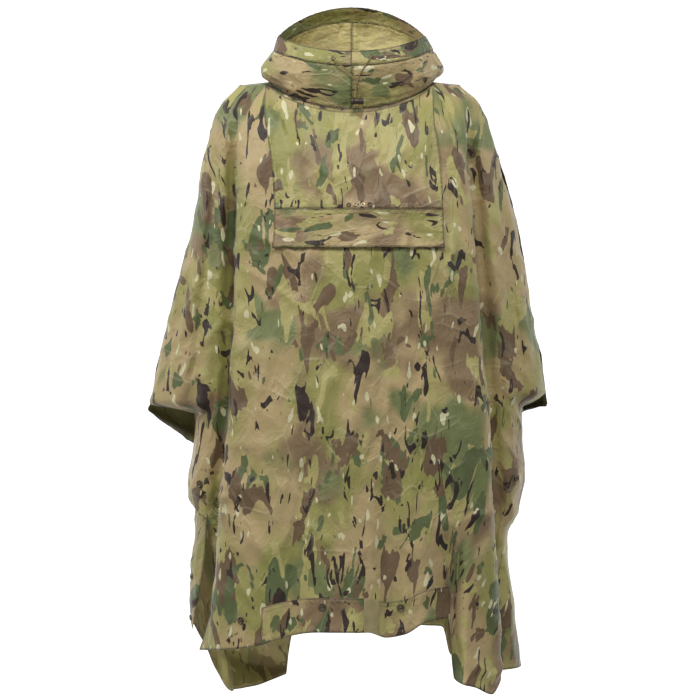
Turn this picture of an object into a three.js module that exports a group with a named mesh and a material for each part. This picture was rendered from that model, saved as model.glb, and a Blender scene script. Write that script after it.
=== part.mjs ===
// A hooded rain poncho, filled out as worn with no wearer, in millimetres.
// X runs to the right as seen from the front, Y to the back and Z up.
// The origin is the middle of the shoulder line, where the wearer carries it.
import * as THREE from "three";

// Cloth and seams
const WALL = 1.4; // a coated cloth panel
const SEAM = 0.3; // the gap between two pieces that are sewn together
const CASING_WALL = 2.4; // the doubled cloth round the face opening

// The neck seam: an oval that is lowest at the front
const NECK = { left: 166, right: 162, front: 88, back: 90, zFront: -57, zSide: 6, zBack: 16 };
const NECK_SWEEP = 1.5; // how sharply the seam drops towards the front
const SHOULDER_END = 219; // half the shoulder line
const SHOULDER_ROUND = 130; // the cloth turns from the shoulder line to the chest over this height
const NECK_REACH = 260; // below this level the neck seam no longer lifts or lowers the rows
const SQUARENESS = 2.2; // 2 makes each section an ellipse, more makes it squarer
const SIDE_START = 0.88; // beyond this share of the form's half width a section reaches out to its edge
const TUCK = 0.55; // an edge that goes round the side lies this much flatter, inside the other panel

// Sections of the body, from the shoulder line down to the arms' lowest point. formLeft and
// formRight are the sides of the body's own round form, and left and right are the edges as seen
// from the front, out along the arms. front and back are depths from the arm line.
const ARM_SECTIONS = [
  { level: 0, left: -224, right: 214, formLeft: -224, formRight: 214, front: 90, back: 92 },
  { level: 12, left: -236, right: 228, formLeft: -236, formRight: 228, front: 96, back: 97 },
  { level: 32, left: -256, right: 250, formLeft: -256, formRight: 250, front: 104, back: 104 },
  { level: 56, left: -271, right: 264, formLeft: -271, formRight: 264, front: 112, back: 112 },
  { level: 80, left: -280, right: 274, formLeft: -279, formRight: 273, front: 120, back: 119 },
  { level: 120, left: -290, right: 286, formLeft: -287, formRight: 283, front: 132, back: 128 },
  { level: 174, left: -300, right: 300, formLeft: -294, formRight: 294, front: 144, back: 136 },
  { level: 230, left: -308, right: 316, formLeft: -299, formRight: 305, front: 153, back: 141 },
  { level: 286, left: -318, right: 331, formLeft: -302, formRight: 313, front: 159, back: 144 },
  { level: 342, left: -333, right: 339, formLeft: -305, formRight: 319, front: 164, back: 147 },
  { level: 454, left: -362, right: 358, formLeft: -308, formRight: 327, front: 174, back: 152 },
  { level: 566, left: -392, right: 380, formLeft: -310, formRight: 332, front: 184, back: 158 },
  { level: 600, left: -399, right: 387, formLeft: -310, formRight: 334, front: 187, back: 160 },
];

// Sections below the arms, where the edges are free
const FRONT_SECTIONS = [
  ...ARM_SECTIONS.map((row) => ({ ...row, depth: row.front })),
  { level: 616, left: -402, right: 354, formLeft: -310, formRight: 334, depth: 188 },
  { level: 628, left: -384, right: 341, formLeft: -310, formRight: 335, depth: 189 },
  { level: 638, left: -342, right: 339, formLeft: -311, formRight: 335, depth: 190 },
  { level: 652, left: -314, right: 338, formLeft: -311, formRight: 336, depth: 191 },
  { level: 700, left: -312, right: 336, formLeft: -313, formRight: 336, depth: 194 },
  { level: 790, left: -324, right: 343, formLeft: -318, formRight: 338, depth: 200 },
  { level: 850, left: -320, right: 335, formLeft: -319, formRight: 335, depth: 204 },
  { level: 895, left: -314, right: 312, formLeft: -319, formRight: 332, depth: 206 },
  { level: 990, left: -320, right: 323, formLeft: -321, formRight: 330, depth: 210 },
  { level: 1070, left: -322, right: 336, formLeft: -322, formRight: 334, depth: 214 },
];
const BACK_SECTIONS = [
  ...ARM_SECTIONS.map((row) => ({ ...row, depth: row.back })),
  { level: 622, left: -402, right: 389, formLeft: -310, formRight: 333, depth: 162 },
  { level: 640, left: -403, right: 352, formLeft: -310, formRight: 332, depth: 164 },
  { level: 660, left: -394, right: 331, formLeft: -310, formRight: 331, depth: 165 },
  { level: 678, left: -374, right: 329, formLeft: -310, formRight: 330, depth: 166 },
  { level: 700, left: -338, right: 328, formLeft: -310, formRight: 330, depth: 167 },
  { level: 730, left: -314, right: 331, formLeft: -311, formRight: 331, depth: 168 },
  { level: 790, left: -316, right: 336, formLeft: -313, formRight: 332, depth: 171 },
  { level: 850, left: -315, right: 328, formLeft: -315, formRight: 329, depth: 174 },
  { level: 895, left: -316, right: 306, formLeft: -317, formRight: 326, depth: 176 },
  { level: 990, left: -323, right: 316, formLeft: -320, formRight: 324, depth: 180 },
  { level: 1100, left: -322, right: 328, formLeft: -322, formRight: 328, depth: 186 },
];

// How many degrees short of the side each free edge stops; less than nothing is
// how far it goes round the side
const FRONT_TURNS = [
  { level: 616, left: 0, right: 0 },
  { level: 628, left: 2, right: 0 },
  { level: 638, left: 2, right: 0 },
  { level: 652, left: 0, right: 0 },
  { level: 790, left: 0, right: 0 },
  { level: 850, left: 16, right: 0 },
  { level: 895, left: 24, right: 0 },
  { level: 990, left: 24, right: 0 },
  { level: 1070, left: 20, right: 0 },
];
const BACK_TURNS = [
  { level: 660, left: 0, right: 0 },
  { level: 678, left: 0, right: -8 },
  { level: 700, left: 0, right: -14 },
  { level: 730, left: 0, right: -18 },
  { level: 790, left: -16, right: -18 },
  { level: 850, left: -24, right: -14 },
  { level: 895, left: -26, right: -10 },
  { level: 990, left: -22, right: -10 },
  { level: 1100, left: -10, right: -6 },
];

// How far each hem hangs below or above its own level, by the place across
const FRONT_HEM = [
  { across: -300, drop: 48 },
  { across: -190, drop: 30 },
  { across: -127, drop: 10 },
  { across: -60, drop: -1 },
  { across: 30, drop: -1 },
  { across: 65, drop: 10 },
  { across: 100, drop: 4 },
  { across: 146, drop: -20 },
  { across: 182, drop: -24 },
  { across: 202, drop: 97 },
  { across: 236, drop: 111 },
  { across: 268, drop: 127 },
  { across: 298, drop: 87 },
  { across: 340, drop: 88 },
];
const BACK_HEM = [
  { across: -300, drop: 28 },
  { across: -280, drop: 78 },
  { across: -246, drop: 130 },
  { across: -134, drop: 102 },
  { across: -116, drop: 4 },
  { across: 0, drop: -4 },
  { across: 186, drop: 2 },
  { across: 204, drop: 60 },
  { across: 290, drop: 50 },
  { across: 340, drop: 30 },
];
const HEM_START = 850; // the level where the hem's waves begin to shape the rows

// The largest folds: troughs that run down a panel between two levels. inner and outer
// are the reach of the slope towards the middle of the body and towards the arm.
const FRONT_FOLDS = [
  { top: 10, bottom: 1090, xTop: -236, xBottom: -296, bow: 24, inner: 13, outer: 30, depth: 66 },
  { top: 60, bottom: 660, xTop: -270, xBottom: -322, bow: 10, inner: 16, outer: 12, depth: 30 },
  { top: 0, bottom: 1190, xTop: 224, xBottom: 306, bow: 2, inner: 12, outer: 28, depth: 58 },
  { top: 30, bottom: 660, xTop: 262, xBottom: 338, bow: 10, inner: 18, outer: 12, depth: 34 },
  { top: 860, bottom: 1250, xTop: 208, xBottom: 186, bow: 0, inner: 34, outer: 12, depth: 34 },
  { top: 700, bottom: 1150, xTop: -80, xBottom: -110, bow: -8, inner: 34, outer: 30, depth: 14 },
  { top: 620, bottom: 1150, xTop: 60, xBottom: 64, bow: 10, inner: 30, outer: 40, depth: 12 },
];
const BACK_FOLDS = [
  { top: 20, bottom: 1180, xTop: -232, xBottom: -262, bow: 10, inner: 18, outer: 30, depth: 42 },
  { top: 20, bottom: 1180, xTop: 226, xBottom: 270, bow: -6, inner: 18, outer: 28, depth: 42 },
  { top: 70, bottom: 640, xTop: -272, xBottom: -340, bow: 6, inner: 20, outer: 14, depth: 22 },
  { top: 70, bottom: 640, xTop: 268, xBottom: 336, bow: 4, inner: 18, outer: 14, depth: 22 },
  { top: 420, bottom: 1180, xTop: -120, xBottom: -104, bow: -14, inner: 30, outer: 40, depth: 22 },
  { top: 520, bottom: 1180, xTop: 24, xBottom: 10, bow: 8, inner: 34, outer: 30, depth: 16 },
  { top: 360, bottom: 1180, xTop: 130, xBottom: 150, bow: 10, inner: 36, outer: 30, depth: 24 },
];

// The open ends of the sleeves hang a little below their own level
const SLEEVE_LIP = { level: 614, drop: 18, reach: 30, sharpness: 6 };
const SLEEVE_END = 665; // above this level each panel keeps to its own side of the arm line

// Rings of the hood, from the neck seam up to the edge of the face opening
const HOOD_RINGS = [
  { rise: 0, ...NECK },
  { rise: 0.07, left: 169, right: 165, front: 91, back: 95, zFront: -49, zSide: 13, zBack: 26 },
  { rise: 0.18, left: 181, right: 175, front: 98, back: 108, zFront: -36, zSide: 20, zBack: 42 },
  { rise: 0.42, left: 184, right: 178, front: 106, back: 128, zFront: -10, zSide: 34, zBack: 74 },
  { rise: 0.72, left: 158, right: 160, front: 108, back: 138, zFront: 25, zSide: 68, zBack: 144 },
  { rise: 1, left: 147, right: 145, front: 99, back: 122, zFront: 55, zSide: 98, zBack: 174 },
];
const HOOD_RISES = [0, 0.07, 0.15, 0.26, 0.4, 0.56, 0.715];
const CASING_RISES = [0.725, 0.86, 1];
const CASING_PROUD = 0.5; // the casing's outer ply stands proud of the hood
const HOOD_GATHERS = { count: 9, depth: 3 }; // soft gathers between the neck seam and the casing

// Two lines down each panel that its columns follow: the seams of the chest panel in front,
// then the creases where the low corners begin
const FRONT_LINES = [
  { level: 0, left: -166, right: 162 },
  { level: 14, left: -172, right: 160 },
  { level: 80, left: -170, right: 161 },
  { level: 160, left: -157, right: 172 },
  { level: 257, left: -151, right: 176 },
  { level: 850, left: -150, right: 184 },
  { level: 1070, left: -150, right: 190 },
];
const BACK_LINES = [
  { level: 0, left: -166, right: 162 },
  { level: 244, left: -154, right: 164 },
  { level: 850, left: -140, right: 180 },
  { level: 1100, left: -131, right: 196 },
];
const CREASE = { top: 0.6, full: 5 }; // width between the pair of columns on such a line
const FOLD_START = 70; // the folds grow out of the shoulder line over this height
const FOLD_ENDS = 6; // each fold fades over this share of its length, as one part in so many

// Patches on the front, as levels and as columns from the middle
const CHEST = { top: 8, bottom: 257 };
const FLAP = { top: 257, bottom: 333, wall: 1.6, lift: 0.6 };
const HEM_BAND = { top: 1004, bottom: 1070, beyond: 2 }; // columns beyond the left line
const HEM_TAB = { top: 1004, bottom: 1070, left: 22, right: 50, wall: 1.8 };
const PATCH_WALL = 1.2;

// Trim. Places are [place across, level, lift] on a panel: the lift keeps a rim clear of curved cloth.
const TRIM_SEGMENTS = 20;
const SNAP = { radius: 7.5, height: 3 };
const STUD = { radius: 6, height: 3.4 };
const SIDE_SNAPS = { left: [-297, 793, 1.4], right: [321, 781, 0.9] };
const HEM_SNAPS = { 1: [-214, 1022, 0.5], 4: [283, 1000, 1] };
const BAND_SNAPS = { 2: [-57, 1021, 0.5], 3: [93, 1018, 0.5] };
const EDGE_STUDS = { 1: [-321.5, 968, 0.9], 2: [-321, 1040, 0.9], 3: [-135, 1050, 2] };
const CHEST_EYELET = { outer: 4.4, inner: 2, height: 1.2 };
const CHEST_EYELET_LEVEL = 247;
const CHEST_EYELETS_ACROSS = [-6.5, 5.7, 21, 33.5];
const EYELET_LIFT = 0.4;
const HOOD_EYELET = { outer: 5, inner: 2.4, height: 1.6 };
const HOOD_EYELET_PLACES = { left: { x: -37.2, rise: 0.83 }, right: { x: 38.9, rise: 0.87 } };

// The drawcord: its free runs, from each eyelet down to the lock
const CORD_DIAMETER = 3;
const CORD_SIDES = 8;
const CORD_STEPS = 16;
const CORD_REACHES = [0.4, 3]; // how far out of its eyelet a cord runs before it turns down
const CORD_LEFT = [
  [-30.5, -110.4, 32], [-23.5, -111.2, 26.7], [-9.9, -111.8, 15], [1.9, -112.8, 1.4],
  [10.6, -113.8, -7.4], [14.6, -112.8, -18], [14.6, -111.2, -28], [14.2, -110, -38.2],
];
const CORD_RIGHT = [
  [32, -110.8, 34], [24.5, -111.6, 23], [15.5, -111.2, 8.2], [10.4, -110.2, -7.4],
  [8, -110, -20], [6.6, -110, -30], [6.3, -110, -38.2],
];
const CORD_LOCK = { x: 10, y: -110, z: -45, width: 25, radius: 6.4 };
const CORD_KNOT = { from: [13, -110, -51.8], to: [22.5, -110, -63.5], radius: 3.8 };

// Rows and columns of the cloth
const SIDE_COLUMNS = 9;
const FRONT_LEVELS = [0, 8, 26, 52, 84, 122, 180, 257, 333, 405, 480, 550, 600, 616, 628, 638, 652,
  700, 745, 790, 850, 895, 950, 1004, 1070];
const BACK_LEVELS = [0, 14, 34, 62, 100, 150, 220, 310, 410, 510, 600, 622, 640, 660, 678, 700, 730,
  790, 850, 895, 990, 1050, 1100];

const FRONT = {
  side: -1, rows: FRONT_SECTIONS, turns: FRONT_TURNS, folds: FRONT_FOLDS, hem: FRONT_HEM, length: 1070,
  lines: FRONT_LINES, levels: FRONT_LEVELS, middleColumns: 20,
};
const BACK = {
  side: 1, rows: BACK_SECTIONS, turns: BACK_TURNS, folds: BACK_FOLDS, hem: BACK_HEM, length: 1100,
  lines: BACK_LINES, levels: BACK_LEVELS, middleColumns: 14,
};

const CLOTH = new THREE.MeshStandardMaterial({ color: 0x8c8758, roughness: 0.62 });
const CLOTH_DARK = new THREE.MeshStandardMaterial({ color: 0x6d6f48, roughness: 0.62 });
const WEBBING = new THREE.MeshStandardMaterial({ color: 0x9c8f63, roughness: 0.85 });
const PLASTIC = new THREE.MeshStandardMaterial({ color: 0x2b211a, roughness: 0.4 });
const METAL = new THREE.MeshStandardMaterial({ color: 0x4a4540, roughness: 0.45, metalness: 0.8 });
const CORD = new THREE.MeshStandardMaterial({ color: 0x8a744a, roughness: 0.9 });

const garment = new THREE.Group();

function mix(a, b, t) {
  return a + (b - a) * t;
}

function clamp01(t) {
  return Math.min(1, Math.max(0, t));
}

function smooth(t) {
  const u = clamp01(t);
  return u * u * (3 - 2 * u);
}

// Smooth values between the rows of a table, with no overshoot
function along(rows, key, column, at) {
  const last = rows.length - 1;
  if (at <= rows[0][key]) return rows[0][column];
  if (at >= rows[last][key]) return rows[last][column];
  let i = 0;
  while (rows[i + 1][key] < at) i += 1;
  const slope = (k) => (rows[k + 1][column] - rows[k][column]) / (rows[k + 1][key] - rows[k][key]);
  const tangent = (k) => {
    if (k === 0) return slope(0);
    if (k === last) return slope(last - 1);
    const product = slope(k - 1) * slope(k);
    return product <= 0 ? 0 : (2 * product) / (slope(k - 1) + slope(k));
  };
  const span = rows[i + 1][key] - rows[i][key];
  const t = (at - rows[i][key]) / span;
  const rise = rows[i + 1][column] - rows[i][column];
  return rows[i][column] + rise * t * t * (3 - 2 * t)
    + span * t * (1 - t) * ((1 - t) * tangent(i) - t * tangent(i + 1));
}

// Height and depth of a panel's upper edge: the neck seam, then the shoulder line
function topEdge(side, x) {
  const reach = x < 0 ? NECK.left : NECK.right;
  const turn = Math.sqrt(Math.max(0, 1 - (x / reach) ** 2));
  const depth = (side < 0 ? NECK.front : NECK.back) * turn;
  const middle = side < 0 ? NECK.zFront : NECK.zBack;
  const outside = clamp01((Math.abs(x) - reach) / (SHOULDER_END - reach));
  const height = mix(NECK.zSide, middle, turn ** NECK_SWEEP) * (1 - outside);
  return { depth, height };
}

// How far the folds take a panel in at a place across and a level
function foldDepth(folds, x, level) {
  const shoulderFade = smooth(level / FOLD_START);
  return folds.reduce((sum, fold) => {
    const t = (level - fold.top) / (fold.bottom - fold.top);
    if (t <= 0 || t >= 1) return sum;
    const line = mix(fold.xTop, fold.xBottom, t) + fold.bow * 4 * t * (1 - t);
    const outwards = (x - line) * Math.sign(line);
    const reach = outwards > 0 ? fold.outer : fold.inner;
    const fade = smooth(t * FOLD_ENDS) * smooth((1 - t) * FOLD_ENDS);
    return sum + fold.depth * fade * shoulderFade * Math.exp(-((outwards / reach) ** 2));
  }, 0);
}

// The section of a panel at a level: its middle, and on each side its form and its edge
function sectionAt(panel, level) {
  const at = (column) => along(panel.rows, "level", column, level);
  const middle = mix(at("formLeft"), at("formRight"), 0.5);
  const form = mix(-at("formLeft"), at("formRight"), 0.5);
  return { middle, form, left: middle - at("left"), right: at("right") - middle, depth: at("depth") };
}

// A point of a panel's outer face. The angle goes round the section in radians:
// 0 is the left edge of the body, half a turn is the right edge.
function panelPoint(panel, angle, level) {
  const section = sectionAt(panel, level);
  const power = 2 / SQUARENESS;
  const across = Math.abs(Math.cos(angle)) ** power;
  const side = -Math.sign(Math.cos(angle));
  const edge = side < 0 ? section.left : section.right;
  const within = Math.min(across, SIDE_START) * section.form;
  const beyond = Math.max(0, across - SIDE_START) / (1 - SIDE_START);
  const x = section.middle + side * (within + beyond * (edge - SIDE_START * section.form));
  const out = Math.sin(angle);
  const round = out < 0 ? -TUCK * Math.abs(out) ** power : out ** power;
  const top = topEdge(panel.side, x);
  const turned = Math.sqrt(1 - (1 - clamp01(level / SHOULDER_ROUND)) ** 2);
  const fold = foldDepth(panel.folds, x, level) * Math.max(0, out);
  const depth = mix(top.depth, section.depth * round, turned) - fold;
  const lip = SLEEVE_LIP.drop * Math.exp(-(((level - SLEEVE_LIP.level) / SLEEVE_LIP.reach) ** 2));
  const hang = smooth((level - HEM_START) / (panel.length - HEM_START));
  const z = -level + top.height * Math.max(0, 1 - level / NECK_REACH)
    - lip * across ** SLEEVE_LIP.sharpness - hemDrop(panel, x) * hang;
  return new THREE.Vector3(x, panel.side * (depth + SEAM / 2), z);
}

function hemDrop(panel, x) {
  return along(panel.hem, "across", "drop", x);
}

// The angle of a panel's section at a place across
function angleAt(panel, x, level) {
  const section = sectionAt(panel, level);
  const out = Math.abs(x - section.middle);
  const edge = x < section.middle ? section.left : section.right;
  const side = SIDE_START * section.form;
  const across = out <= side ? out / section.form
    : SIDE_START + (1 - SIDE_START) * Math.min(1, (out - side) / (edge - side));
  const cosine = across ** (SQUARENESS / 2);
  return Math.acos(x < section.middle ? cosine : -cosine);
}

// Angles of a panel's columns at a level: even steps out to each edge from a pair of columns
// on each line, and between the lines steps that even out below the neck
function columnAngles(panel, level) {
  const at = (rows, column) => along(rows, "level", column, level);
  const width = mix(CREASE.top, CREASE.full, clamp01(level / NECK_REACH)) / 2;
  const left = at(panel.lines, "left");
  const right = at(panel.lines, "right");
  const start = THREE.MathUtils.degToRad(at(panel.turns, "left"));
  const end = Math.PI - THREE.MathUtils.degToRad(at(panel.turns, "right"));
  const even = smooth(level / NECK_REACH);
  const middle = evenly(0, 1, panel.middleColumns).map((t) => {
    const share = mix((1 - Math.cos(Math.PI * t)) / 2, t, even);
    return angleAt(panel, mix(left + width, right - width, share), level);
  });
  return [
    ...evenly(start, angleAt(panel, left - width, level), SIDE_COLUMNS),
    ...middle,
    ...evenly(angleAt(panel, right + width, level), end, SIDE_COLUMNS),
  ];
}

function panelRows(panel) {
  return panel.levels.map((level) => (
    columnAngles(panel, level).map((angle) => panelPoint(panel, angle, level))));
}

// Outward unit normals of a grid of points
function gridNormals(rows, outwards, ring) {
  const columns = rows[0].length;
  const at = (j, i) => rows[Math.min(rows.length - 1, Math.max(0, j))][
    ring ? (i + columns) % columns : Math.min(columns - 1, Math.max(0, i))];
  return rows.map((row, j) => row.map((_, i) => {
    const across = at(j, i + 1).clone().sub(at(j, i - 1));
    const down = at(j + 1, i).clone().sub(at(j - 1, i));
    return across.cross(down).normalize().multiplyScalar(outwards);
  }));
}

function shifted(rows, normals, distance) {
  return rows.map((row, j) => (
    row.map((point, i) => point.clone().addScaledVector(normals[j][i], distance))));
}

// One closed wall between two grids of points; a ring joins its last column to its first
function wall(outer, inner, ring = false) {
  const columns = outer[0].length;
  const last = outer.length - 1;
  const corners = [];
  const quad = (a, b, c, d) => corners.push(a, b, c, a, c, d);
  const quadBack = (a, b, c, d) => corners.push(a, c, b, a, d, c);
  const steps = ring ? columns : columns - 1;
  for (let i = 0; i < steps; i += 1) {
    const k = (i + 1) % columns;
    for (let j = 0; j < last; j += 1) {
      quad(outer[j][i], outer[j][k], outer[j + 1][k], outer[j + 1][i]);
      quadBack(inner[j][i], inner[j][k], inner[j + 1][k], inner[j + 1][i]);
    }
    quad(outer[0][k], outer[0][i], inner[0][i], inner[0][k]);
    quad(outer[last][i], outer[last][k], inner[last][k], inner[last][i]);
  }
  for (let j = 0; j < last && !ring; j += 1) {
    const end = columns - 1;
    quad(outer[j][0], outer[j + 1][0], inner[j + 1][0], inner[j][0]);
    quad(outer[j + 1][end], outer[j][end], inner[j][end], inner[j + 1][end]);
  }
  const volume = corners.reduce((sum, point, n) => (n % 3 ? sum
    : sum + point.dot(corners[n + 1].clone().cross(corners[n + 2]))), 0);
  if (volume < 0) {
    for (let n = 0; n < corners.length; n += 3) {
      [corners[n + 1], corners[n + 2]] = [corners[n + 2], corners[n + 1]];
    }
  }
  return new THREE.BufferGeometry().setFromPoints(corners);
}

function add(name, geometry, material) {
  geometry.computeVertexNormals();
  const mesh = new THREE.Mesh(geometry, material);
  mesh.name = name;
  garment.add(mesh);
  return mesh;
}

// A body panel; above the sleeves' ends both edges keep to their own side of the arm line
function addPanel(name, panel, outer, normals) {
  const inner = shifted(outer, normals, -WALL);
  inner.forEach((row, j) => {
    if (panel.levels[j] > SLEEVE_END) return;
    row.forEach((point) => {
      point.y = panel.side * Math.max(panel.side * point.y, SEAM / 2);
    });
  });
  add(name, wall(outer, inner), CLOTH);
}

function evenly(from, to, steps) {
  return Array.from({ length: steps + 1 }, (_, i) => mix(from, to, i / steps));
}

// The whole numbers between two places on a grid, with the places themselves
function stepsBetween(from, to) {
  const whole = [];
  for (let k = Math.floor(from) + 1; k < to; k += 1) whole.push(k);
  return [from, ...whole, to];
}

// A value between the cells of a grid of vectors
function onGrid(grid, j, i) {
  const row = Math.min(grid.length - 2, Math.floor(j));
  const column = Math.min(grid[0].length - 2, Math.floor(i));
  const upper = grid[row][column].clone().lerp(grid[row][column + 1], i - column);
  const lower = grid[row + 1][column].clone().lerp(grid[row + 1][column + 1], i - column);
  return upper.lerp(lower, j - row);
}

// Where a level lies among a panel's rows
function rowOf(panel, level) {
  const row = Math.max(1, panel.levels.findIndex((value) => value >= level));
  return row - (panel.levels[row] - level) / (panel.levels[row] - panel.levels[row - 1]);
}

// Where a place across lies among a panel's columns
function columnOf(grid, j, x) {
  let i = 0;
  while (onGrid(grid, j, i + 1).x < x) i += 1;
  const from = onGrid(grid, j, i).x;
  return i + (x - from) / (onGrid(grid, j, i + 1).x - from);
}

// A piece that lies on the front, from the front's own points moved out
function addPatch(name, front, rows, columns, under, thickness, material) {
  const pick = (grid) => stepsBetween(...rows).map((j) => (
    stepsBetween(...columns).map((i) => onGrid(grid, j, i))));
  const points = pick(front.points);
  const normals = pick(front.normals);
  add(name, wall(shifted(points, normals, under + thickness), shifted(points, normals, under)), material);
}

// A point of the hood's outer face: the turn goes round from the centre front, over the right side
function hoodPoint(turn, rise) {
  const at = (column) => along(HOOD_RINGS, "rise", column, rise);
  const facing = Math.cos(turn);
  const across = Math.sin(turn);
  const reach = across < 0 ? at("left") : at("right");
  const middle = facing > 0 ? at("zFront") : at("zBack");
  const gather = HOOD_GATHERS.depth * Math.sin(HOOD_GATHERS.count * turn) * 4 * rise * (1 - rise);
  const depth = facing > 0 ? -(at("front") + gather) : at("back") + gather;
  const height = mix(at("zSide"), middle, Math.abs(facing) ** NECK_SWEEP);
  return new THREE.Vector3(across * (reach + gather), depth * Math.abs(facing), height);
}

// Turns of the hood's columns, each over a column of the body panel below it
function hoodTurns() {
  const under = (panel) => columnAngles(panel, 0).slice(SIDE_COLUMNS + 1, -SIDE_COLUMNS - 1)
    .map((angle) => panelPoint(panel, angle, 0).x)
    .map((x) => Math.asin(x / (x < 0 ? NECK.left : NECK.right)));
  return [...under(FRONT), ...under(BACK).reverse().map((turn) => Math.PI - turn)];
}

function addHood() {
  const turns = hoodTurns();
  const total = turns.length;
  const frontMiddle = FRONT.middleColumns / 2;
  const backMiddle = FRONT.middleColumns + 1 + BACK.middleColumns / 2;
  const ring = HOOD_RISES.map((rise) => turns.map((turn) => hoodPoint(turn, rise)));
  ring[0].forEach((point) => {
    point.z += SEAM;
  });
  const normals = gridNormals(ring, 1, true);
  const inner = shifted(ring, normals, -WALL);
  const half = (rows, from, to, push) => rows.map((row) => {
    const points = [];
    for (let i = from; i <= to; i += 1) points.push(row[i % total].clone());
    points[0].x += push;
    points[points.length - 1].x += push;
    return points;
  });
  const right = [frontMiddle, backMiddle, SEAM / 2];
  const left = [backMiddle, total + frontMiddle, -SEAM / 2];
  add("hood_right", wall(half(ring, ...right), half(inner, ...right)), CLOTH_DARK);
  add("hood_left", wall(half(ring, ...left), half(inner, ...left)), CLOTH_DARK);
  const casing = CASING_RISES.map((rise) => turns.map((turn) => hoodPoint(turn, rise)));
  const casingNormals = gridNormals(casing, 1, true);
  const outer = shifted(casing, casingNormals, CASING_PROUD);
  add("hood_casing", wall(outer, shifted(outer, casingNormals, -CASING_WALL), true), CLOTH);
}

// A piece turned round an axis that starts at a place and runs in a direction
function addTurned(name, profile, place, direction, material) {
  const outline = profile.map(([radius, height]) => new THREE.Vector2(radius, height));
  const mesh = add(name, new THREE.LatheGeometry(outline, TRIM_SEGMENTS), material);
  mesh.position.copy(place);
  mesh.quaternion.setFromUnitVectors(new THREE.Vector3(0, 1, 0), direction.clone().normalize());
}

// A press stud's cap: a low dome with a rim round a dished middle
function capProfile({ radius, height }) {
  return [[0, 0], [radius, 0], [radius, height * 0.45], [radius * 0.9, height * 0.8],
    [radius * 0.62, height * 0.8], [radius * 0.5, height * 0.5], [radius * 0.32, height * 0.5],
    [radius * 0.24, height], [0, height]];
}

function eyeletProfile({ outer, inner, height }) {
  return [[inner, 0], [outer, 0], [outer, height * 0.5], [mix(inner, outer, 0.6), height],
    [inner, height * 0.7], [inner, 0]];
}

// A barrel with rounded ends, grooved beside its two collars
function lockProfile({ width, radius }) {
  const half = [[radius * 0.8, 0], [radius, width * 0.08],
    [radius, width * 0.2], [radius * 0.9, width * 0.24]];
  const other = half.map(([out, from]) => [out, width - from]).reverse();
  return [[0, 0], ...half, ...other, [0, width]];
}

// A knot with the cord's short end beyond it
function knotProfile(length, radius) {
  const cord = CORD_DIAMETER / 2;
  return [[0, 0], [cord, 0], [cord, length * 0.08], [radius * 0.85, length * 0.2], [radius, length * 0.34],
    [radius * 0.8, length * 0.5], [cord, length * 0.6], [cord * 1.1, length], [0, length]];
}

// A turned piece on a panel, at a place across and a level, a little above the cloth
function addOnPanel(name, surface, x, level, profile, lift, material) {
  const row = rowOf(surface.panel, level);
  const column = columnOf(surface.points, row, x);
  const outwards = onGrid(surface.normals, row, column).normalize();
  const place = onGrid(surface.points, row, column).addScaledVector(outwards, lift);
  addTurned(name, profile, place, outwards, material);
}

// An eyelet on the casing, at a place across and a rise up the hood
function addHoodEyelet(name, { x, rise }) {
  const step = 0.02;
  const reach = along(HOOD_RINGS, "rise", x < 0 ? "left" : "right", rise);
  const turn = Math.asin(x / reach);
  const across = hoodPoint(turn + step, rise).sub(hoodPoint(turn - step, rise));
  const up = hoodPoint(turn, rise + step).sub(hoodPoint(turn, rise - step));
  const outwards = across.cross(up).normalize();
  const place = hoodPoint(turn, rise).addScaledVector(outwards, CASING_PROUD + EYELET_LIFT);
  addTurned(name, eyeletProfile(HOOD_EYELET), place, outwards, METAL);
  return { place, outwards };
}

// A cord that leaves its eyelet straight out and then hangs along a row of points
function addCord(name, { place, outwards }, points) {
  const start = CORD_REACHES.map((reach) => place.clone().addScaledVector(outwards, reach));
  const rest = points.map((point) => new THREE.Vector3(...point));
  const route = new THREE.CatmullRomCurve3([...start, ...rest]);
  const section = new THREE.Shape(evenly(0, 2 * Math.PI, CORD_SIDES).slice(1)
    .map((turn) => new THREE.Vector2(Math.cos(turn), Math.sin(turn)).multiplyScalar(CORD_DIAMETER / 2)));
  add(name, new THREE.ExtrudeGeometry(section, { steps: CORD_STEPS, extrudePath: route }), CORD);
}

function addTrim(front, back) {
  const cap = capProfile(SNAP);
  const stud = capProfile(STUD);
  const patch = SEAM + PATCH_WALL;
  Object.entries(SIDE_SNAPS).forEach(([side, [x, level, lift]]) => {
    addOnPanel(`snap_side_${side}`, front, x, level, cap, lift, METAL);
  });
  Object.entries(HEM_SNAPS).forEach(([number, [x, level, lift]]) => {
    addOnPanel(`snap_hem_${number}`, front, x, level, cap, lift, METAL);
  });
  Object.entries(BAND_SNAPS).forEach(([number, [x, level, lift]]) => {
    addOnPanel(`snap_hem_${number}`, front, x, level, cap, patch + lift, METAL);
  });
  Object.entries(EDGE_STUDS).forEach(([number, [x, level, lift]]) => {
    addOnPanel(`snap_edge_${number}`, back, x, level, stud, lift, METAL);
  });
  const eyelet = eyeletProfile(CHEST_EYELET);
  CHEST_EYELETS_ACROSS.forEach((x, i) => {
    const lift = patch + EYELET_LIFT;
    addOnPanel(`chest_eyelet_${i + 1}`, front, x, CHEST_EYELET_LEVEL, eyelet, lift, METAL);
  });
}

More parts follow.
